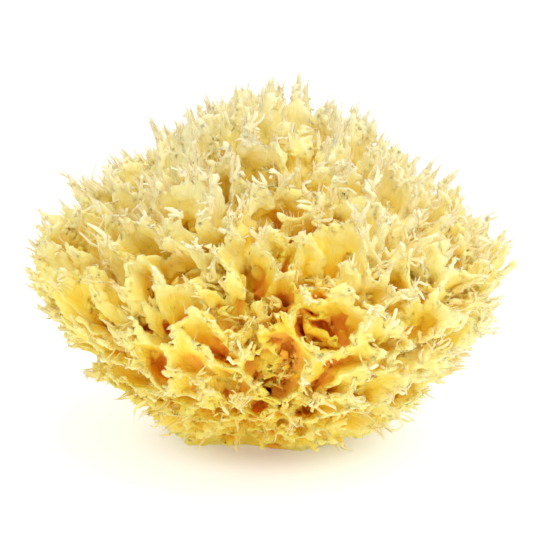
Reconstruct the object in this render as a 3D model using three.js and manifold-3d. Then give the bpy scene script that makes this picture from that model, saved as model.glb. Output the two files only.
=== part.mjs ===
// A bleached honeycomb bath sponge, one grown piece: a domed mass that narrows to the flat cut of its root.
// Rounded pits open all over it, with thin walls between them, and every corner where walls meet rises to a point.
// Millimetres, +Z up, the front towards -Y, the origin under the middle of the mass on the plane of the cut.

import * as THREE from "three";
import { ConvexHull } from "three/addons/math/ConvexHull.js";
import { mergeVertices } from "three/addons/utils/BufferGeometryUtils.js";
import Module from "manifold-3d";

// The mass, measured to the skin that the pits are sunk into: a crown over a root, widest where they meet.
const MIDDLE = new THREE.Vector3(0, 0, 47);
const HALF_WIDTH = 63;
const HALF_DEPTH = 60;
const CROWN = { reach: 44, power: 1.22, lean: 0.08 }; // the upright section: 2 is an ellipse, 1 a diamond
const ROOT = { reach: 56, power: 1.45, lean: 0 };

// Every canal starts at the heart, low in the mass, and sweeps upwards on its way out.
const HEART = new THREE.Vector3(0, 0, 33);
const UP_SWEEP = 0.5;

// Slow swellings of the mass, each a wave across it: direction, share of the radius, phase.
const SWELLINGS = [
  { across: new THREE.Vector3(2.6, 1.1, 0.7), share: 0.025, phase: 0.4 },
  { across: new THREE.Vector3(-1.3, 3.1, 1.9), share: 0.022, phase: 2.1 },
  { across: new THREE.Vector3(3.9, -2.2, 2.8), share: 0.018, phase: 4.0 },
];

// The cleft that runs up the front between two lobes.
const CLEFT_PLANE = new THREE.Vector3(0.97, 0, -0.24).normalize();
const CLEFT_HALF_ANGLE = 0.2;
const CLEFT_SHARE = 0.07;
const CLEFT_EXTRA_DEPTH = 0.35;

// The pits, and the walls and points between them.
const PIT_COUNT = 290;
const CANDIDATES_PER_PIT = 10;
const PIT_DEPTH = { least: 11, most: 16 };
const ROOT_FADE = { none: 3, full: 12 }; // pits shallow out between these heights over the cut, so the root is whole
const WALL_FOOT_SHARE = 0.6; // how far out from a pit's middle its wall stands, towards the corner
const WALL_FOOT_DEPTH_SHARE = 0.7;
const CREST_DEPTH = { least: 0.5, most: 6 }; // how far a wall sinks below the skin between its two points
const SHOULDER_SHARE = 0.4; // where a point's foot ends, along its wall
const POINT_HEIGHT = { least: 3, most: 6.5 };
const POINT_LEAN_SHARE = 0.22; // how far a point leans over the highest pit beside it

const SEED = 1841;
const COLOUR = 0xecd27a;

// A repeatable stream of numbers from 0 to 1.
function stream(seed) {
  let state = seed;
  return () => {
    state = (state * 16807) % 2147483647;
    return state / 2147483647;
  };
}

function between(random, { least, most }) {
  return least + (most - least) * random();
}

// How far a direction from the heart lies inside the cleft, from 0 to 1. Only the front has it.
function cleft(direction) {
  const side = direction.dot(CLEFT_PLANE) / CLEFT_HALF_ANGLE;
  const front = THREE.MathUtils.smoothstep(-direction.y, 0.1, 0.6);
  return front * Math.exp(-side * side);
}

// How far out a place lies: 0 at the middle of the mass, 1 on its outline before it swells.
function section(place) {
  const rise = place.z - MIDDLE.z;
  const { reach, power, lean } = rise > 0 ? CROWN : ROOT;
  const flat = Math.hypot((place.x - lean * rise) / HALF_WIDTH, place.y / HALF_DEPTH);
  return (flat ** power + (Math.abs(rise) / reach) ** power) ** (1 / power);
}

function placeAlong(direction, radius) {
  return direction.clone().multiplyScalar(radius).add(HEART);
}

// Heart to skin along a direction, found by halving the stretch that the skin lies in.
function skinRadius(direction) {
  const swelling = SWELLINGS.reduce(
    (sum, { across, share, phase }) => sum + share * Math.cos(across.dot(direction) + phase), 1);
  const skin = swelling - CLEFT_SHARE * cleft(direction);
  let inside = 0;
  let outside = 2 * HALF_WIDTH;
  while (outside - inside > 1e-4) {
    const radius = (inside + outside) / 2;
    if (section(placeAlong(direction, radius)) < skin) inside = radius;
    else outside = radius;
  }
  return inside;
}

function skinPoint(direction) {
  return placeAlong(direction, skinRadius(direction));
}

// Pit directions, spread evenly but not regularly: each is the candidate furthest from those before it.
function spreadPits(random) {
  const pits = [];
  const placed = [];
  const randomDirection = () => {
    const z = 2 * random() - 1;
    const turn = 2 * Math.PI * random();
    const flat = Math.sqrt(1 - z * z);
    return new THREE.Vector3(flat * Math.cos(turn), flat * Math.sin(turn), z);
  };
  while (pits.length < PIT_COUNT) {
    let best = null;
    let bestGap = -1;
    for (let tried = 0; tried < CANDIDATES_PER_PIT; tried += 1) {
      const direction = randomDirection();
      const point = skinPoint(direction);
      const gap = placed.reduce((least, other) => Math.min(least, other.distanceToSquared(point)), Infinity);
      if (gap > bestGap) {
        best = direction;
        bestGap = gap;
      }
    }
    pits.push(best);
    placed.push(skinPoint(best));
  }
  return pits;
}

// The three pits round each corner where walls meet, in order as seen from outside.
function findCorners(pits) {
  const indexOf = new Map(pits.map((pit, index) => [pit, index]));
  return new ConvexHull().setFromPoints(pits).faces.map((face) => {
    const around = [];
    let edge = face.edge;
    do {
      around.push(indexOf.get(edge.head().point));
      edge = edge.next;
    } while (edge !== face.edge);
    return around;
  });
}

// The corners round each pit, in order as seen from outside.
function cornersRoundPits(pits, corners) {
  const cornerAfter = new Map();
  corners.forEach((around, corner) => around.forEach((pit, k) => {
    cornerAfter.set(`${pit},${around[(k + 1) % 3]}`, { corner, next: around[(k + 2) % 3] });
  }));
  return pits.map((_, pit) => {
    const first = corners.findIndex((around) => around.includes(pit));
    const start = corners[first][(corners[first].indexOf(pit) + 1) % 3];
    const ring = [];
    let neighbour = start;
    do {
      const { corner, next } = cornerAfter.get(`${pit},${neighbour}`);
      ring.push(corner);
      neighbour = next;
    } while (neighbour !== start);
    return ring;
  });
}

function mixed(from, to, share) {
  return from.clone().lerp(to, share).normalize();
}

// The closed surface of the whole mass, before its root is cut.
function growSurface() {
  const random = stream(SEED);
  const pits = spreadPits(random);
  const corners = findCorners(pits);
  const rings = cornersRoundPits(pits, corners);
  const vertices = [];
  const triangles = [];
  const add = (direction, beyondSkin) => {
    const place = placeAlong(direction, skinRadius(direction) + beyondSkin);
    place.z += UP_SWEEP * beyondSkin;
    return vertices.push(...place) / 3 - 1;
  };

  // A point leans over the highest pit beside it, so that the points sweep upwards.
  const cornerDirections = corners.map((around) => around
    .reduce((sum, pit) => sum.add(pits[pit]), new THREE.Vector3()).normalize());
  const points = corners.map((around, corner) => {
    const highest = around.map((pit) => pits[pit]).sort((a, b) => b.z - a.z)[0];
    const direction = mixed(cornerDirections[corner], highest, POINT_LEAN_SHARE * random());
    return add(direction, between(random, POINT_HEIGHT));
  });

  // A wall has a shoulder at the foot of each of its two points, shared by the pits on both sides.
  const shoulders = new Map();
  const shoulder = (near, far) => {
    const key = `${near},${far}`;
    if (!shoulders.has(key)) {
      const direction = mixed(cornerDirections[near], cornerDirections[far], SHOULDER_SHARE);
      shoulders.set(key, add(direction, -between(random, CREST_DEPTH)));
    }
    return shoulders.get(key);
  };

  rings.forEach((ring, pit) => {
    const open = THREE.MathUtils.smoothstep(skinPoint(pits[pit]).z, ROOT_FADE.none, ROOT_FADE.full);
    const depth = between(random, PIT_DEPTH) * (1 + CLEFT_EXTRA_DEPTH * cleft(pits[pit])) * open;
    const floor = add(pits[pit], -depth);
    const feet = ring.map((corner) => add(
      mixed(pits[pit], cornerDirections[corner], WALL_FOOT_SHARE), -depth * WALL_FOOT_DEPTH_SHARE));
    ring.forEach((corner, k) => {
      const after = (k + 1) % ring.length;
      const near = shoulder(corner, ring[after]);
      const far = shoulder(ring[after], corner);
      triangles.push(
        floor, feet[k], feet[after],
        feet[k], points[corner], near,
        feet[k], near, far,
        feet[k], far, feet[after],
        feet[after], far, points[ring[after]],
      );
    });
  });
  return { vertices, triangles };
}

const wasm = await Module();
wasm.setup();

function solidOf({ vertices, triangles }) {
  return new wasm.Manifold(new wasm.Mesh({
    numProp: 3,
    vertProperties: new Float32Array(vertices),
    triVerts: new Uint32Array(triangles),
  }));
}

function plainSolid(geometry) {
  geometry.deleteAttribute("normal");
  geometry.deleteAttribute("uv");
  const merged = mergeVertices(geometry);
  return solidOf({ vertices: merged.attributes.position.array, triangles: merged.index.array });
}

function geometryOf(solid) {
  const { vertProperties, triVerts } = solid.getMesh();
  const geometry = new THREE.BufferGeometry();
  geometry.setAttribute("position", new THREE.BufferAttribute(new Float32Array(vertProperties), 3));
  geometry.setIndex(new THREE.BufferAttribute(new Uint32Array(triVerts), 1));
  geometry.computeVertexNormals();
  return geometry;
}

// The knife's cut through the root leaves the plane that the sponge rests on.
function cutRoot(solid) {
  const size = 4 * HALF_WIDTH;
  const below = new THREE.BoxGeometry(size, size, size).translate(0, 0, -size / 2);
  return solid.subtract(plainSolid(below));
}

const sponge = new THREE.Mesh(
  geometryOf(cutRoot(solidOf(growSurface()))),
  new THREE.MeshStandardMaterial({ color: COLOUR, roughness: 0.9, metalness: 0 }),
);
sponge.name = "sponge";

const part = new THREE.Group();
part.add(sponge);
export default part;
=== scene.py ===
"""A bleached honeycomb bath sponge, standing on the cut of its root on a pale studio floor."""

import math

import bpy
import numpy as np
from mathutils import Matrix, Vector


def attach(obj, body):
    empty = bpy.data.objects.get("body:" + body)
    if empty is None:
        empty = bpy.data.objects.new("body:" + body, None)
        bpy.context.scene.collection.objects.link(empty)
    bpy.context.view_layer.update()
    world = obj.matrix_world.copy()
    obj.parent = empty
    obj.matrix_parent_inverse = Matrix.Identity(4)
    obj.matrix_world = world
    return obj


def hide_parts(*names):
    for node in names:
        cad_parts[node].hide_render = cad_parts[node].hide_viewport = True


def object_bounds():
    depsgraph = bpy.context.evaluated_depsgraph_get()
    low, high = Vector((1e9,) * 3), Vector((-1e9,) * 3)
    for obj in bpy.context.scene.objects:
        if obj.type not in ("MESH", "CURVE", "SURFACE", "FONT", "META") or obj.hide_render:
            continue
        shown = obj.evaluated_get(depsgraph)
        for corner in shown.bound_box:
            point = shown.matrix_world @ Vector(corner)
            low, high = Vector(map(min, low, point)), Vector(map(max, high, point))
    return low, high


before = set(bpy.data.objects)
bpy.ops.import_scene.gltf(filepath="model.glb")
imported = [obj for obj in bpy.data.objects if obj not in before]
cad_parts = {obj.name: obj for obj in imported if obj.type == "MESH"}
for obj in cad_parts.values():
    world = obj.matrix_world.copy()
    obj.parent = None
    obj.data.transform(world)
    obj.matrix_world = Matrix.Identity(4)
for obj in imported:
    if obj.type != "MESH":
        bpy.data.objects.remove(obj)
cad_low, cad_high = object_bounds()


# The sponge itself: one mass of spongin, grown outwards from its heart along hundreds of canals, domed above
# and narrowing to a root that is cut off flat. Thin walls stand between the canals' open pits. Some rise as
# torn lamellae, others sink away, and the corners where they meet rise to points.
MM = 0.001

# The mass in millimetres, by the same rule as the solid's: a crown over a root, swelling and clefted.
MIDDLE = Vector((0, 0, 47))
HALF_WIDTH = 63
HALF_DEPTH = 60
CROWN_REACH, CROWN_POWER, CROWN_LEAN = 44, 1.22, 0.08
ROOT_REACH, ROOT_POWER = 56, 1.45
SWELLINGS = [((2.6, 1.1, 0.7), 0.025, 0.4), ((-1.3, 3.1, 1.9), 0.022, 2.1), ((3.9, -2.2, 2.8), 0.018, 4.0)]
CLEFT_PLANE = Vector((0.97, 0, -0.24)).normalized()
CLEFT_HALF_ANGLE = 0.2
CLEFT_SHARE = 0.07

# Every canal starts at the heart and sweeps upwards on its way out. A canal is named by its direction there,
# and a length across the canals, divided by their reach, is a length between directions.
HEART = Vector((0, 0, 33))
UP_SWEEP = 0.5
CANAL_REACH = 60


class Flow:
    """What flows out of a node, so that a rule built from nodes reads as arithmetic."""

    def __init__(self, socket):
        self.socket = socket
        self.tree = socket.id_data

    def is_vector(self):
        return self.socket.type in ("VECTOR", "RGBA")

    def math(self, operation, *others, before=False):
        values = [*others, self] if before else [self, *others]
        vector = any(isinstance(v, Vector) or isinstance(v, Flow) and v.is_vector() for v in values)
        kind = "ShaderNodeVectorMath" if vector else "ShaderNodeMath"
        return add(self.tree, kind, dict(enumerate(values)), operation=operation)

    def __add__(self, other):
        return self.math("ADD", other)

    def __radd__(self, other):
        return self.math("ADD", other)

    def __sub__(self, other):
        return self.math("SUBTRACT", other)

    def __rsub__(self, other):
        return self.math("SUBTRACT", other, before=True)

    def __mul__(self, other):
        return self.math("MULTIPLY", other)

    def __rmul__(self, other):
        return self.math("MULTIPLY", other)

    def __truediv__(self, other):
        return self.math("DIVIDE", other)

    def __rtruediv__(self, other):
        return self.math("DIVIDE", other, before=True)

    def __pow__(self, other):
        return self.math("POWER", other)

    def __neg__(self):
        return self.math("MULTIPLY", -1)

    def on_vector(self, operation, inputs, output=None):
        return add(self.tree, "ShaderNodeVectorMath", {0: self, **inputs}, output, operation=operation)

    def scaled(self, share):
        return self.on_vector("SCALE", {"Scale": share})

    def length(self):
        return self.on_vector("LENGTH", {}, "Value")

    def dot(self, other):
        return self.on_vector("DOT_PRODUCT", {1: other}, "Value")

    def parts(self):
        node = add(self.tree, "ShaderNodeSeparateXYZ", {0: self}).socket.node
        return [Flow(socket) for socket in node.outputs]

    def ramp(self, low, high, to_low=0.0, to_high=1.0, shape="LINEAR"):
        inputs = {"Value": self, "From Min": low, "From Max": high, "To Min": to_low, "To Max": to_high}
        return add(self.tree, "ShaderNodeMapRange", inputs, interpolation_type=shape)

    def smooth_ramp(self, low, high, to_low=0.0, to_high=1.0):
        return self.ramp(low, high, to_low, to_high, "SMOOTHSTEP")


def add(tree, kind, inputs=None, output=None, **settings):
    """Adds a node, wires or sets its inputs, and returns what flows out of it."""
    node = tree.nodes.new(kind)
    for name, value in settings.items():
        setattr(node, name, value)
    for name, value in (inputs or {}).items():
        socket = node.inputs[name]
        if isinstance(value, Flow):
            tree.links.new(value.socket, socket)
        elif socket.type == "VECTOR" and isinstance(value, (int, float)):
            socket.default_value = (value, value, value)
        else:
            socket.default_value = value
    if output is not None:
        return Flow(node.outputs[output])
    return Flow(next(socket for socket in node.outputs if socket.enabled))


def vector(tree, x, y, z):
    return add(tree, "ShaderNodeCombineXYZ", {0: x, 1: y, 2: z})


def noise(tree, at, size, detail=1.0, w=None):
    """A smooth random number round 0 that changes over about a size."""
    inputs = {"Vector": at, "Scale": 1 / size, "Detail": detail}
    if w is None:
        return add(tree, "ShaderNodeTexNoise", inputs, "Fac") - 0.5
    return add(tree, "ShaderNodeTexNoise", {**inputs, "W": w}, "Fac", noise_dimensions="4D") - 0.5


def drift(tree, at, size):
    """A smooth random vector round 0 that changes over about a size."""
    inputs = {"Vector": at, "Scale": 1 / size, "Detail": 0.0}
    return add(tree, "ShaderNodeTexNoise", inputs, "Color") - Vector((0.5, 0.5, 0.5))


def beyond_skin(tree, place):
    """How far a place in millimetres lies beyond the skin of the mass, and how far inside the cleft."""
    from_heart = place - HEART
    direction = from_heart.scaled(1 / from_heart.length())
    swelling = 1.0
    for across, share, phase in SWELLINGS:
        swelling = (direction.dot(Vector(across)) + phase).math("COSINE") * share + swelling
    side = direction.dot(CLEFT_PLANE) / CLEFT_HALF_ANGLE
    cleft = (-(side * side)).math("EXPONENT") * (-direction.parts()[1]).smooth_ramp(0.1, 0.6)
    from_middle = place - MIDDLE
    across, back, rise = from_middle.parts()
    crown = rise.math("GREATER_THAN", 0.0)
    power = crown * (CROWN_POWER - ROOT_POWER) + ROOT_POWER
    upright = rise.math("ABSOLUTE") / (crown * (CROWN_REACH - ROOT_REACH) + ROOT_REACH)
    leaning = across - rise * crown * CROWN_LEAN
    flat = vector(tree, leaning / HALF_WIDTH, back / HALF_DEPTH, 0.0).length()
    section = (flat ** power + upright ** power) ** (1 / power)
    return from_middle.length() * (1 - (swelling - cleft * CLEFT_SHARE) / section), cleft


def unswept(tree, place):
    """How far beyond the skin a place lies along its canal, how far in the cleft, and its canal's direction.

    The canals' sweep is taken out in rounds, because it grows with the first of these.
    """
    beyond, cleft = beyond_skin(tree, place)
    for _ in range(2):
        beyond, cleft = beyond_skin(tree, place - vector(tree, 0.0, 0.0, beyond * UP_SWEEP))
    straight = place - HEART - vector(tree, 0.0, 0.0, beyond * UP_SWEEP)
    return beyond, cleft, straight.scaled(1 / straight.length())


def at_front(direction):
    """1 on the front of the sponge, where the walls are torn into fingers, and 0 round the sides and back."""
    return (-direction.parts()[1]).smooth_ramp(-0.1, 0.6)


def start_tree(name, sizes):
    """A Geometry Nodes tree with a named input for each size, and what flows in through each."""
    tree = bpy.data.node_groups.new(name, "GeometryNodeTree")
    tree.interface.new_socket("Geometry", in_out="INPUT", socket_type="NodeSocketGeometry")
    tree.interface.new_socket("Geometry", in_out="OUTPUT", socket_type="NodeSocketGeometry")
    for label, value in sizes.items():
        kind = "NodeSocketInt" if isinstance(value, int) else "NodeSocketFloat"
        tree.interface.new_socket(label, in_out="INPUT", socket_type=kind).default_value = value
    entry = tree.nodes.new("NodeGroupInput")
    return tree, {socket.name: Flow(socket) for socket in entry.outputs if socket.name}


def end_tree(tree, geometry):
    exit_node = tree.nodes.new("NodeGroupOutput")
    tree.links.new(geometry.socket, exit_node.inputs[0])
    return tree


def end_piece_tree(tree, geometry, material):
    """Ends a tree that grows a piece: one smooth mesh, with no instances left, in its material."""
    whole = add(tree, "GeometryNodeRealizeInstances", {0: geometry})
    smooth = add(tree, "GeometryNodeSetShadeSmooth", {0: whole})
    return end_tree(tree, add(tree, "GeometryNodeSetMaterial", {"Geometry": smooth, "Material": material}))


def store(tree, geometry, name, value, kind="FLOAT"):
    inputs = {"Geometry": geometry, "Name": name, "Value": value}
    return add(tree, "GeometryNodeStoreNamedAttribute", inputs, data_type=kind)


def stored(tree, name, kind="FLOAT"):
    return add(tree, "GeometryNodeInputNamedAttribute", {"Name": name}, data_type=kind)


def in_millimetres(tree):
    return add(tree, "GeometryNodeInputPosition").scaled(1 / MM)


def on_its_island(tree, counted):
    """The counted values, added up over the loose piece of mesh that each place belongs to."""
    island = add(tree, "GeometryNodeInputMeshIsland", output="Island Index")
    return add(tree, "GeometryNodeAccumulateField", {0: counted, 1: island}, "Total")


def stand(mesh):
    """An object that holds a mesh while its modifiers run."""
    holder = bpy.data.objects.new("holder", mesh)
    bpy.context.scene.collection.objects.link(holder)
    return holder


def plain_mesh(holder):
    """The mesh that comes out of the holder's modifiers. The holder is removed."""
    mesh = bpy.data.meshes.new_from_object(holder.evaluated_get(bpy.context.evaluated_depsgraph_get()))
    bpy.data.objects.remove(holder)
    return mesh


def grow(mesh, tree, **sizes):
    """Runs a tree on a mesh with these sizes and returns the plain mesh that comes out."""
    holder = stand(mesh)
    modifier = holder.modifiers.new("grow", "NODES")
    modifier.node_group = tree
    for socket in tree.interface.items_tree:
        if socket.in_out == "INPUT" and socket.name in sizes:
            modifier[socket.identifier] = sizes[socket.name]
    return plain_mesh(holder)


def survey_tree():
    """Measures the solid's own surface: how far each vertex is beyond the skin, and on which canal."""
    tree, flows = start_tree("survey_solid", {})
    solid = add(tree, "GeometryNodeMergeByDistance", {0: flows["Geometry"], "Distance": 0.01 * MM})
    beyond, _, canal = unswept(tree, in_millimetres(tree))
    around = add(tree, "GeometryNodeBlurAttribute", {"Value": beyond, "Iterations": 6})
    solid = store(tree, solid, "relief", beyond - around)
    solid = store(tree, solid, "beyond", beyond)
    solid = store(tree, solid, "canal", canal, "FLOAT_VECTOR")
    return end_tree(tree, solid)


def values_of(mesh, name, width=1):
    values = np.empty(len(mesh.vertices) * width, np.float32)
    mesh.attributes[name].data.foreach_get("value" if width == 1 else "vector", values)
    return values if width == 1 else values.reshape(-1, width)


LEAST_RELIEF = 1.5  # a pit or a point stands out by at least this from the surface round it
ABOVE_CUT = 0.5


def find_sites(solid):
    """A mesh of loose vertices, one for each pit and point of the solid, with its canal as its place."""
    surveyed = grow(solid, survey_tree())
    relief = values_of(surveyed, "relief")
    edges = np.empty(len(surveyed.edges) * 2, np.int32)
    surveyed.edges.foreach_get("vertices", edges)
    edges = edges.reshape(-1, 2)
    highest = np.full(len(relief), -np.inf)
    lowest = np.full(len(relief), np.inf)
    for here, there in ((0, 1), (1, 0)):
        np.maximum.at(highest, edges[:, here], relief[edges[:, there]])
        np.minimum.at(lowest, edges[:, here], relief[edges[:, there]])
    off_cut = np.array([vertex.co.z > ABOVE_CUT * MM for vertex in surveyed.vertices])
    pits = (relief < lowest) & (relief < -LEAST_RELIEF) & off_cut
    points = (relief > highest) & (relief > LEAST_RELIEF) & off_cut
    chosen = pits | points
    sites = bpy.data.meshes.new("sites")
    sites.from_pydata(values_of(surveyed, "canal", 3)[chosen].tolist(), [], [])
    sites.attributes.new("is_pit", "BOOLEAN", "POINT").data.foreach_set("value", pits[chosen])
    beyond = values_of(surveyed, "beyond")[chosen]
    sites.attributes.new("beyond", "FLOAT", "POINT").data.foreach_set("value", beyond)
    return sites


# The walls, points and floors. Their sizes are in millimetres.
VOXEL = 0.66
POINT_CATCH = 0.07  # a knot of the net goes to the solid's point within this, as a length between directions
KNOT_HEIGHT = 2  # a knot's height where the solid has no point
SLOW_WANDER_SIZE, SLOW_WANDER = 18, 13  # the walls wander from straight, slowly and quickly
QUICK_WANDER_SIZE, QUICK_WANDER = 5, 3
LOW_DOWN_HEIGHT, LOW_DOWN_DROP = 36, 6.0  # crests are lower near the cut
POINT_ABOVE_CREST = 1
POINT_REACH = (0.5, 5.0)  # between these distances from a point, its wall sags
POINT_TAPER, POINT_END = 0.8, 5
CREST_EDGE = 0.5  # how sharply a wall ends at its crest
THIN_FROM = 3  # this far beyond the skin a wall is down to its crest's thickness
HIGHEST_TEAR = 1.5
TEAR_LENGTH = 14  # how far along its canal a tear keeps its line
TEAR_ON_POINT = 2
RIB_SPACING, RIB_LENGTH = 2.4, 10
RIB_ON_WALL, RIB_ON_POINT, RIB_ON_FLOOR = 2.4, 2, 3
STAND_SIZE = 10  # walls stand tall or sink in stands of about this size
SUNK_TO_TALL = (-0.1, 0.08)
SIDE_SINK = 4  # round the sides and back the tallest walls sink this much more between their points
SEPTUM_STAND_SIZE, SEPTUM_RISE, SEPTUM_DROP = 12, 26, 5  # low cross-walls inside the pits
SEPTUM_THICKNESS, HIGHEST_SEPTUM = 0.45, 0.5
FLOOR_BOWL = 0.1  # a pit's floor rises with the square of the distance from its middle
HIGHEST_FLOOR = -6.0
CLEFT_DEPTH = 4
WINDOW_SIZE, WINDOW_EDGE = 8, 25  # the walls have windows, but neither at their crests nor deep inside
NO_WINDOW_ABOVE, NO_WINDOW_BELOW, WINDOW_SHUT = (-3, 0), (-16, -12), 6.0
LEAST_ISLAND = 3000  # loose crumbs of fewer vertices than this are left out
BLOCK_MARGIN, BLOCK_MARGIN_BELOW = 9, 1.2

# How far two rules blend into each other where they meet, in millimetres.
TIP_BLEND, TEAR_BLEND, CREST_BLEND, WALL_BLEND = 2.5, 2.0, 0.6, 0.8
SEPTUM_TOP_BLEND, SEPTUM_CREST_BLEND = 3.0, 1.0
BOWL_BLEND, FLOOR_BLEND, WINDOW_BLEND = 3.0, 2.5, 1.0


def body_tree():
    """Grows the mass as a field: how deep each place of a block lies inside, or less than 0 outside."""
    tree, flows = start_tree("grow_body", {
        "Voxel": VOXEL, "Highest tip": 5.5,
        "Crest thickness": 0.5, "Foot thickness": 2.2, "Foot depth": 14.0,
        "Least sink": -2.5, "Most sink": 12.0, "Tear": 28.0, "Tear width": 2.2,
        "Point thickness": 2.2, "Point length": 13.0, "Window share": 0.14,
        "Septum spacing": 6.0})
    is_pit = stored(tree, "is_pit", "BOOLEAN")
    beyond_site = stored(tree, "beyond")
    split = add(tree, "GeometryNodeSeparateGeometry", {0: flows["Geometry"], 1: is_pit}).socket.node
    pits, points = (Flow(socket) for socket in split.outputs)

    # The walls stand between the pits, on a net whose knots are moved to the solid's own points.
    net = add(tree, "GeometryNodeDualMesh", {0: add(tree, "GeometryNodeConvexHull", {0: pits})})
    knot = add(tree, "GeometryNodeInputPosition")
    on_ball = knot.scaled(1 / knot.length())
    nearest = add(tree, "GeometryNodeSampleNearest", {0: points, "Sample Position": on_ball})
    point = add(tree, "GeometryNodeSampleIndex", {0: points, "Value": knot, "Index": nearest},
                data_type="FLOAT_VECTOR")
    height = add(tree, "GeometryNodeSampleIndex", {0: points, "Value": beyond_site, "Index": nearest})
    to_point = point - on_ball
    has_point = to_point.length().math("LESS_THAN", POINT_CATCH)
    net = store(tree, net, "beyond", height * has_point + KNOT_HEIGHT * (1 - has_point))
    net = add(tree, "GeometryNodeSetPosition", {
        "Geometry": net, "Position": on_ball + to_point.scaled(has_point)})

    place = in_millimetres(tree)
    beyond, cleft, canal = unswept(tree, place)
    radius = (place - HEART).length()
    slow_wander = drift(tree, place, SLOW_WANDER_SIZE).scaled(SLOW_WANDER)
    wander = slow_wander + drift(tree, place, QUICK_WANDER_SIZE).scaled(QUICK_WANDER)
    canal = canal + wander.scaled(1 / radius)
    canal = canal.scaled(1 / canal.length())

    def gap_to(targets, kind):
        inputs = {0: targets, "Sample Position": canal}
        return add(tree, "GeometryNodeProximity", inputs, "Distance", target_element=kind) * radius

    def nearest_of(targets, value, kind="FLOAT"):
        index = add(tree, "GeometryNodeSampleNearest", {0: targets, "Sample Position": canal})
        inputs = {0: targets, "Value": value, "Index": index}
        return add(tree, "GeometryNodeSampleIndex", inputs, data_type=kind)

    pit_gap = gap_to(pits, "POINTS")
    wall_gap = gap_to(net, "EDGES")
    knot_gap = gap_to(net, "POINTS")
    floor = nearest_of(pits, beyond_site)
    low_down = place.parts()[2].smooth_ramp(0, LOW_DOWN_HEIGHT, LOW_DOWN_DROP, 0.0)
    tip = nearest_of(net, beyond_site) - low_down - POINT_ABOVE_CREST
    tip = tip.math("SMOOTH_MIN", flows["Highest tip"], TIP_BLEND)

    # Each wall thins out to a crest, which sags between its points and is torn.
    tear = noise(tree, canal, flows["Tear width"] / CANAL_REACH, 1.5, w=radius / TEAR_LENGTH)
    torn = (tear * flows["Tear"]).math("SMOOTH_MIN", HIGHEST_TEAR, TEAR_BLEND)
    rib = noise(tree, canal, RIB_SPACING / CANAL_REACH, 2.0, w=radius / RIB_LENGTH)
    tall = noise(tree, canal, STAND_SIZE / CANAL_REACH, 0.0)
    least_sink = flows["Least sink"] + (1 - at_front(canal)) * SIDE_SINK
    sink = tall.smooth_ramp(*SUNK_TO_TALL, flows["Most sink"], least_sink)
    crest = tip - knot_gap.smooth_ramp(*POINT_REACH) * (tip + sink) + torn
    thickness = beyond.ramp(
        THIN_FROM, -flows["Foot depth"], flows["Crest thickness"], flows["Foot thickness"])
    wall = thickness + rib * RIB_ON_WALL - wall_gap
    wall = wall.math("SMOOTH_MIN", (crest - beyond) * CREST_EDGE, CREST_BLEND)

    # Septa cross the pits, most of them deep down.
    septum_gap = add(tree, "ShaderNodeTexVoronoi", {
        "Vector": canal, "Scale": CANAL_REACH / flows["Septum spacing"]},
        "Distance", feature="DISTANCE_TO_EDGE") * flows["Septum spacing"]
    septum_stand = noise(tree, canal, SEPTUM_STAND_SIZE / CANAL_REACH, 0.0, w=2.0)
    septum_crest = septum_stand * SEPTUM_RISE - SEPTUM_DROP - low_down + torn
    septum_crest = septum_crest.math("SMOOTH_MIN", HIGHEST_SEPTUM, SEPTUM_TOP_BLEND)
    septum = SEPTUM_THICKNESS + rib - septum_gap
    septum = septum.math("SMOOTH_MIN", (septum_crest - beyond) * CREST_EDGE, SEPTUM_CREST_BLEND)
    wall = wall.math("SMOOTH_MAX", septum, WALL_BLEND)

    # Points rise at the net's knots, and the pits have bowl-shaped floors.
    under_point = tip + POINT_ABOVE_CREST - beyond
    left = under_point / flows["Point length"]
    spike = left.ramp(0, 1) ** POINT_TAPER * flows["Point thickness"] + left.math("MINIMUM", 0.0) * POINT_END
    spike = spike - knot_gap + rib * RIB_ON_POINT + tear * TEAR_ON_POINT
    bowl = (floor + pit_gap * pit_gap * FLOOR_BOWL).math("SMOOTH_MIN", HIGHEST_FLOOR, BOWL_BLEND)
    ground = bowl - cleft * CLEFT_DEPTH - beyond + rib * RIB_ON_FLOOR
    solid = wall.math("SMOOTH_MAX", spike, WALL_BLEND).math("SMOOTH_MAX", ground, FLOOR_BLEND)

    # The walls are pierced by windows, and the root is cut off flat.
    window = (flows["Window share"] - noise(tree, place, WINDOW_SIZE)) * WINDOW_EDGE
    near_skin = beyond.ramp(*NO_WINDOW_ABOVE, 0.0, WINDOW_SHUT)
    far_in = beyond.ramp(*NO_WINDOW_BELOW, WINDOW_SHUT, 0.0)
    solid = solid.math("SMOOTH_MIN", window + near_skin + far_in, WINDOW_BLEND)
    solid = solid.math("MINIMUM", place.parts()[2])

    low = cad_low / MM - Vector((BLOCK_MARGIN, BLOCK_MARGIN, BLOCK_MARGIN_BELOW))
    high = cad_high / MM + Vector((BLOCK_MARGIN, BLOCK_MARGIN, BLOCK_MARGIN))
    counts = [(top - bottom) / flows["Voxel"] for bottom, top in zip(low, high)]
    volume = add(tree, "GeometryNodeVolumeCube", {
        "Density": solid, "Background": -1.0, "Min": low * MM, "Max": high * MM,
        "Resolution X": counts[0], "Resolution Y": counts[1], "Resolution Z": counts[2]})
    body = add(tree, "GeometryNodeVolumeToMesh", {"Volume": volume, "Threshold": 0.0, "Adaptivity": 0.0})
    is_crumb = on_its_island(tree, 1.0).math("LESS_THAN", LEAST_ISLAND)
    body = add(tree, "GeometryNodeDeleteGeometry", {0: body, 1: is_crumb})

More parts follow.
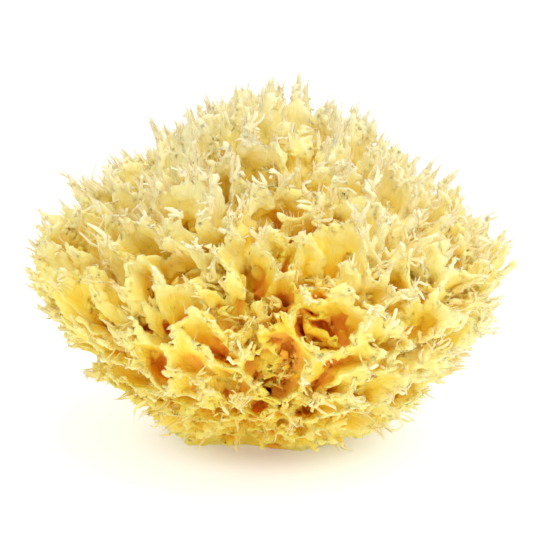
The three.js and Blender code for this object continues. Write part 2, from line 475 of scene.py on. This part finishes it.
    # What the fibres and the colours read, at each place of the surface.
    knot_place = nearest_of(net, knot, "FLOAT_VECTOR").scaled(radius - beyond + tip)
    summit = knot_place + HEART + vector(tree, 0.0, 0.0, tip * UP_SWEEP) - wander
    body = store(tree, body, "beyond", beyond)
    under_crest = (crest - beyond).math("MINIMUM", under_point + knot_gap * 2)
    body = store(tree, body, "under_crest", under_crest)
    body = store(tree, body, "cleft", cleft)
    body = store(tree, body, "canal", canal.scaled(CANAL_REACH), "FLOAT_VECTOR")
    body = store(tree, body, "summit", summit, "FLOAT_VECTOR")
    return end_piece_tree(tree, body, spongin)


BODY_TRIANGLES = 190000
LOOSE_FACTOR = 2e-5  # how strongly faces far under the crests are joined before those near them
LOOSE_FROM, LOOSE_OVER = 1, 8
LEAST_LOOSE = 0.1
LOOSE_STEPS = 10


def thinned(mesh, triangles):
    """The mesh with its faces joined until it has this many triangles, the most of them near the crests."""
    holder = stand(mesh)
    loose = np.clip((values_of(mesh, "under_crest") - LOOSE_FROM) / LOOSE_OVER, LEAST_LOOSE, 1)
    group = holder.vertex_groups.new(name="loose")
    for step in range(LOOSE_STEPS + 1):
        members = np.flatnonzero(np.round(loose * LOOSE_STEPS) == step)
        group.add(members.tolist(), step / LOOSE_STEPS, "REPLACE")
    modifier = holder.modifiers.new("thin", "DECIMATE")
    modifier.ratio = min(1.0, triangles / sum(len(face.vertices) - 2 for face in mesh.polygons))
    modifier.vertex_group = "loose"
    modifier.vertex_group_factor = LOOSE_FACTOR
    modifier.use_collapse_triangulate = True
    return plain_mesh(holder)


def place_piece(name, mesh, material):
    mesh.materials.clear()
    mesh.materials.append(material)
    piece = bpy.data.objects.new(name, mesh)
    bpy.context.scene.collection.objects.link(piece)
    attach(piece, "root")
    return piece


# Colours from the bottom of the pits to the tips, each with its place on that way. The spongin's yellow is
# its own, and so are the random patches and streaks along this way; its deepening to orange in the pits and
# paling to cream at the crests is painted shade and painted light.
SPONGIN_COLOURS = [
    (0.0, (0.92, 0.37, 0.02)),  # orange
    (0.2, (0.93, 0.57, 0.015)),  # ochre
    (0.45, (0.96, 0.72, 0.07)),  # gold
    (0.72, (0.99, 0.83, 0.25)),  # straw
    (1.0, (0.98, 0.875, 0.51)),  # cream
]
SPONGIN_ROUGHNESS = 0.65
SPONGIN_GLOSS = 0.2
SCATTER_WEIGHT = 0.7
SCATTER_RADIUS = (1.0, 0.97, 0.9)
SCATTER_SCALE = 1.2 * MM
PATCH_SIZE, PATCH_LENGTH, PATCH_LIGHT = 9, 12, 8
STREAK_WIDTH, STREAK_LENGTH, STREAK_LIGHT = 0.9, 9, 5
STREAK_BUMP, STREAK_BUMP_HEIGHT = 0.7, 1.0 * MM

# Where each change of colour starts and ends, with its strength at both ends if not 0 and 1. All of them but
# the levels are painted shade.
SHADE_AHEAD, SHADE_LOW, SHADE_ACROSS = (-5, 35, 0.6, 1.0), (60, 8), (10, 45, 1.0, 0.5)
SHADE_UNDER_CREST = (0, 12, 0.0, 8.0)
LEVELS = (-15, 5)

# The colour's level at the skin, and how much each thing lightens it or deepens it. Lighter outwards and
# deeper in the pits is painted light and shade, and so is the deeper colour low on the front and in the
# cleft.
LEVEL_AT_SKIN = 3.5
LIGHT_OUTWARDS, LIGHT_TOWARDS_TIP = 0.5, 3
FRONT_SHADE, CLEFT_SHADE = 6, 1.5
DEEP_IN_LIGHT, DEEP_IN_SHADE, DEEP_IN_CLEFT = 0.7, 0.5, 1.2


def make_spongin(name, solid):
    """Bleached yellow spongin with painted light and shade: cream at the crests, golden on the walls, ochre
    to orange deep in the pits.

    Solid walls are ribbed, a little glossy and let light in. Single fibres are plain and matt.
    """
    material = bpy.data.materials.new(name)
    material.use_nodes = True
    tree = material.node_tree
    shader = tree.nodes["Principled BSDF"]
    beyond = add(tree, "ShaderNodeAttribute", output="Fac", attribute_name="beyond")
    under = add(tree, "ShaderNodeAttribute", output="Fac", attribute_name="under_crest")
    cleft = add(tree, "ShaderNodeAttribute", output="Fac", attribute_name="cleft")
    along = add(tree, "ShaderNodeAttribute", output="Fac", attribute_name="along")
    canal = add(tree, "ShaderNodeAttribute", output="Vector", attribute_name="canal")
    patch = noise(tree, canal, PATCH_SIZE, 2.0, w=beyond / PATCH_LENGTH)
    streak = noise(tree, canal, STREAK_WIDTH, 2.0, w=beyond / STREAK_LENGTH)

    # Painted shade: the colour is deeper low on the front, deep under the crests and in the cleft, and paler
    # on the right, the side the key lamp shines from.
    across, ahead, up = canal.parts()
    shaded = (-ahead).smooth_ramp(*SHADE_AHEAD) * up.smooth_ramp(*SHADE_LOW)
    shaded = shaded * across.smooth_ramp(*SHADE_ACROSS)
    # Painted shade in the pits: the colour deepens with the depth under the crests.
    deep = under.ramp(*SHADE_UNDER_CREST) * (DEEP_IN_LIGHT + shaded * DEEP_IN_SHADE)
    # Painted light outwards: the colour pales with the height beyond the skin.
    level = beyond * LIGHT_OUTWARDS - deep * (1 - along + cleft * DEEP_IN_CLEFT) + along * LIGHT_TOWARDS_TIP
    level = level + patch * PATCH_LIGHT + streak * STREAK_LIGHT
    # Painted shade low on the front and in the cleft.
    level = level - shaded * FRONT_SHADE - cleft * CLEFT_SHADE + LEVEL_AT_SKIN
    colours = add(tree, "ShaderNodeValToRGB", {0: level.ramp(*LEVELS)})
    ramp = colours.socket.node.color_ramp
    while len(ramp.elements) < len(SPONGIN_COLOURS):
        ramp.elements.new(0.5)
    for element, (at, colour) in zip(ramp.elements, SPONGIN_COLOURS):
        element.position = at
        element.color = (*colour, 1)
    tree.links.new(colours.socket, shader.inputs["Base Color"])
    shader.inputs["Roughness"].default_value = SPONGIN_ROUGHNESS
    shader.inputs["Specular IOR Level"].default_value = SPONGIN_GLOSS if solid else 0.0
    shader.inputs["Subsurface Weight"].default_value = SCATTER_WEIGHT if solid else 0.0
    shader.inputs["Subsurface Radius"].default_value = SCATTER_RADIUS
    shader.inputs["Subsurface Scale"].default_value = SCATTER_SCALE
    if solid:
        inputs = {"Height": streak, "Strength": STREAK_BUMP, "Distance": STREAK_BUMP_HEIGHT}
        tree.links.new(add(tree, "ShaderNodeBump", inputs).socket, shader.inputs["Normal"])
    return material


spongin = make_spongin("spongin", solid=True)
sites = find_sites(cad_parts["sponge"].data.copy())
grown = grow(sites, body_tree(), Voxel=VOXEL)
body_mesh = thinned(grown, BODY_TRIANGLES)
body = place_piece("sponge_body", body_mesh.copy(), spongin)
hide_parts("sponge")


# The torn crests: curled fingers of the same spongin that fan out in the plane of their wall, bundles of
# shreds that gather at the points, and fine hairs. All of them grow out of the body's own crests.
FINGERS = {
    "Per square metre": 28000.0, "In a tuft": 3, "Tuft spread": 1.1, "Width": 0.95, "Thickness": 0.7,
    "Foot flare": 1.1, "Tip share": 0.5, "Least length": 1.8, "Most length": 5.6, "Fan": 0.8, "Splay": 0.3,
    "Lift": 0.35, "Gather": 0.0, "Curl": 10.0, "Seed": 11}
SHREDS = {
    "Per square metre": 58000.0, "In a tuft": 6, "Tuft spread": 1.1, "Width": 0.34, "Thickness": 0.26,
    "Foot flare": 0.8, "Tip share": 0.3, "Least length": 2.5, "Most length": 6.0, "Fan": 0.1, "Splay": 0.07,
    "Lift": 0.45, "Gather": 0.9, "Curl": 2.5, "Seed": 17}
HAIRS = {
    "Per square metre": 500000.0, "In a tuft": 1, "Tuft spread": 0.0, "Width": 0.18, "Thickness": 0.18,
    "Foot flare": 0.5, "Tip share": 0.3, "Least length": 1.5, "Most length": 5.0, "Fan": 0.2, "Splay": 0.25,
    "Lift": 0.3, "Gather": 0.3, "Curl": 6.0, "Seed": 23}
BARE_FOOT = (1, 9)  # between these heights over the cut the fibres set in
SEAT_IN_WALL, SEAT_BELOW = 0.35, 0.4
ABOVE_SUMMIT = 2  # gathered fibres lean to a place this far above their point
GIRTH = (0.7, 1.3)
FULL_TURN = 6.283
CURL_SIZE, CURL_POWER = 3.2, 1.5
LOWEST_FIBRE = 0.1


def blade(tree, flows, sides, steps):
    """One blade that stands on the origin along Z, a millimetre long, with a blunt round end."""
    line = add(tree, "GeometryNodeCurveQuadraticBezier", {
        "Resolution": steps, "Start": (0, 0, -0.1 * MM), "Middle": (0, 0, 0.6 * MM),
        "End": (0.15 * MM, 0, 1 * MM)})
    along = add(tree, "GeometryNodeSplineParameter", output="Factor")
    line = store(tree, line, "along", along)
    profile = add(tree, "GeometryNodeCurvePrimitiveCircle", {
        "Resolution": sides, "Radius": 0.5 * MM}, "Curve")
    profile = add(tree, "GeometryNodeTransform", {
        0: profile, "Scale": vector(tree, flows["Width"], flows["Thickness"], 1.0)})

    # It flares at its foot, narrows towards its tip and is rounded off at the very end.
    foot = (1 - along).math("MAXIMUM", 0.0) ** 3 * flows["Foot flare"]
    taper = (foot + 1 - along * (1 - flows["Tip share"])) * (1 - along ** 8 * 0.6)
    return add(tree, "GeometryNodeCurveToMesh", {
        "Curve": line, "Profile Curve": profile, "Scale": taper, "Fill Caps": True})


def fringe_tree(name, sizes, sides, steps, favour):
    """Grows tufts of blades on the body. The favour says how thickly they stand at a place, from 0 to 1."""
    tree, flows = start_tree(name, sizes)
    place = in_millimetres(tree)
    outward = (place - HEART).scaled(1 / (place - HEART).length())
    share = favour(stored(tree, "beyond"), stored(tree, "under_crest"), at_front(outward))
    share = share * place.parts()[2].smooth_ramp(*BARE_FOOT)
    roots = add(tree, "GeometryNodeDistributePointsOnFaces", {
        "Mesh": flows["Geometry"], "Density": share * flows["Per square metre"],
        "Seed": flows["Seed"]}, "Points")
    roots = store(tree, roots, "root_normal", Flow(roots.socket.node.outputs["Normal"]), "FLOAT_VECTOR")
    roots = add(tree, "GeometryNodeDuplicateElements", {
        0: roots, "Amount": flows["In a tuft"]}, domain="POINT")

    def random(low, high, offset):
        inputs = {2: low, 3: high, "Seed": flows["Seed"] + offset}
        return add(tree, "FunctionNodeRandomValue", inputs, 1, data_type="FLOAT")

    # A tuft is spread along its wall. Its blades point outwards and up, fan out and lean to the summit.
    jitter = vector(tree, random(-1.0, 1.0, 1), random(-1.0, 1.0, 2), random(-1.0, 1.0, 3))
    root_normal = stored(tree, "root_normal", "FLOAT_VECTOR")
    in_wall = root_normal.math("CROSS_PRODUCT", outward)
    in_wall = in_wall.scaled(1 / (in_wall.length() + 0.1))
    sideways = random(-1.0, 1.0, 7)
    seat = in_wall.scaled(sideways * flows["Tuft spread"])
    seat = seat - root_normal.scaled(SEAT_IN_WALL) - outward.scaled(SEAT_BELOW)
    roots = add(tree, "GeometryNodeSetPosition", {"Geometry": roots, "Offset": seat.scaled(MM)})
    to_summit = stored(tree, "summit", "FLOAT_VECTOR") + outward.scaled(ABOVE_SUMMIT) - place
    aim = outward + in_wall.scaled(sideways * flows["Fan"]) + jitter.scaled(flows["Splay"])
    aim = aim + vector(tree, 0.0, 0.0, flows["Lift"])
    aim = aim + to_summit.scaled(flows["Gather"] / (to_summit.length() + 1))
    turn = add(tree, "FunctionNodeAlignRotationToVector", {"Vector": aim})
    spin = add(tree, "FunctionNodeAxisAngleToRotation", {
        "Axis": (0, 0, 1), "Angle": random(0.0, FULL_TURN, 4)})
    turn = add(tree, "FunctionNodeRotateRotation", {0: turn, 1: spin}, rotation_space="LOCAL")
    girth = random(*GIRTH, 5)
    length = random(flows["Least length"], flows["Most length"], 6)
    blades = add(tree, "GeometryNodeInstanceOnPoints", {
        "Points": roots, "Instance": blade(tree, flows, sides, steps), "Rotation": turn,
        "Scale": vector(tree, girth, girth, length)})
    blades = add(tree, "GeometryNodeRealizeInstances", {0: blades})
    bend = drift(tree, place, CURL_SIZE).scaled(flows["Curl"] * MM * stored(tree, "along") ** CURL_POWER)
    blades = add(tree, "GeometryNodeSetPosition", {"Geometry": blades, "Offset": bend})

    # A blade that reaches down to the cut is left out.
    low_corners = on_its_island(tree, place.parts()[2].math("LESS_THAN", LOWEST_FIBRE))
    blades = add(tree, "GeometryNodeDeleteGeometry", {0: blades, 1: low_corners.math("GREATER_THAN", 0.5)})
    beyond, _, canal = unswept(tree, place)
    blades = store(tree, blades, "beyond", beyond)
    blades = store(tree, blades, "canal", canal.scaled(CANAL_REACH), "FLOAT_VECTOR")
    return end_piece_tree(tree, blades, frayed_spongin)


def finger_share(beyond, under, front):
    """Fingers stand along the crests, low ones too, and nearly all of them at the front."""
    return under.smooth_ramp(2.2, 0.6) * beyond.smooth_ramp(-11, -3) * (front * 0.9 + 0.1)


def shred_share(beyond, under, front):
    """Shreds start a little further down from the crests, and are fewest at the front."""
    return under.smooth_ramp(3.5, 1) * beyond.smooth_ramp(-8, 0) * (1 - front * 0.75)


def hair_share(beyond, under, front):
    """Hairs stand along the highest crests, and are fewest at the front."""
    return under.smooth_ramp(2.5, 0.5) * beyond.smooth_ramp(-5, 3) * (1 - front * 0.6)


frayed_spongin = make_spongin("frayed_spongin", solid=False)
for name, sizes, sides, steps, favour in (
        ("fingers", FINGERS, 5, 5, finger_share),
        ("shreds", SHREDS, 3, 3, shred_share),
        ("hairs", HAIRS, 3, 3, hair_share)):
    fringe = grow(body_mesh, fringe_tree("grow_" + name, sizes, sides, steps, favour))
    place_piece(name, fringe, frayed_spongin)


# A plain pale floor that glows least under the sponge, soft studio light from above, and the camera in front
# and a little above, as in the photograph.
FLOOR_HALF = 3.0
PAPER_COLOUR = (0.7, 0.75, 0.8, 1)
PAPER_ROUGHNESS = 0.9
# The floor's own glow, weakest under the sponge, is a painted shadow round the sponge's foot and a glow where
# there is no lamp.
GLOW_FROM, GLOW_TO = 16 * MM, 40 * MM
LEAST_GLOW, MOST_GLOW = 0.18, 0.5
WORLD_STRENGTH = 0.86
VIEW_GAMMA = 1.2
LIGHT_BOUNCES = 14
CAMERA_ELEVATION = math.radians(17)
CAMERA_DISTANCE = 1.1
CAMERA_AIM = Vector((0.0, 0.0, 0.0452))
SPONGE_SHARE_OF_FRAME = 503 / 540
SENSOR = 36.0

floor_mesh = bpy.data.meshes.new("floor")
corners = [(-FLOOR_HALF, -FLOOR_HALF, 0), (FLOOR_HALF, -FLOOR_HALF, 0),
           (FLOOR_HALF, FLOOR_HALF, 0), (-FLOOR_HALF, FLOOR_HALF, 0)]
floor_mesh.from_pydata(corners, [], [(0, 1, 2, 3)])
floor = bpy.data.objects.new("floor", floor_mesh)
bpy.context.scene.collection.objects.link(floor)
paper = bpy.data.materials.new("paper")
paper.use_nodes = True
paper_shader = paper.node_tree.nodes["Principled BSDF"]
paper_shader.inputs["Base Color"].default_value = PAPER_COLOUR
paper_shader.inputs["Roughness"].default_value = PAPER_ROUGHNESS
paper_shader.inputs["Emission Color"].default_value = (1, 1, 1, 1)
on_floor = add(paper.node_tree, "ShaderNodeTexCoord", output="Object")
# Painted shadow: less glow near the sponge.
glow = on_floor.length().smooth_ramp(GLOW_FROM, GLOW_TO, LEAST_GLOW, MOST_GLOW)
paper.node_tree.links.new(glow.socket, paper_shader.inputs["Emission Strength"])
floor_mesh.materials.append(paper)

world = bpy.data.worlds.new("studio")
world.use_nodes = True
world.node_tree.nodes["Background"].inputs["Color"].default_value = (1, 1, 1, 1)
world.node_tree.nodes["Background"].inputs["Strength"].default_value = WORLD_STRENGTH
bpy.context.scene.world = world
bpy.context.scene.view_settings.view_transform = "Standard"
bpy.context.scene.view_settings.gamma = VIEW_GAMMA
bpy.context.scene.cycles.diffuse_bounces = LIGHT_BOUNCES


def add_lamp(name, place, size, power):
    lamp = bpy.data.lights.new(name, "AREA")
    lamp.size = size
    lamp.energy = power
    tripod = bpy.data.objects.new(name, lamp)
    tripod.location = place
    tripod.rotation_euler = (CAMERA_AIM - Vector(place)).to_track_quat("-Z", "Y").to_euler()
    bpy.context.scene.collection.objects.link(tripod)


add_lamp("key", (0.3, 0.0, 1.0), size=1.0, power=6.1)
add_lamp("fill", (0.7, -0.8, 0.4), size=0.8, power=0.8)

camera_back = Vector((0, -math.cos(CAMERA_ELEVATION), math.sin(CAMERA_ELEVATION)))
camera = bpy.data.objects.new("camera", bpy.data.cameras.new("camera"))
camera.location = CAMERA_AIM + camera_back * CAMERA_DISTANCE
camera.rotation_euler = (-camera_back).to_track_quat("-Z", "Y").to_euler()
frame_width = (cad_high.x - cad_low.x) / SPONGE_SHARE_OF_FRAME
camera.data.sensor_width = SENSOR
camera.data.lens = SENSOR * CAMERA_DISTANCE / frame_width
bpy.context.scene.collection.objects.link(camera)
bpy.context.scene.camera = camera
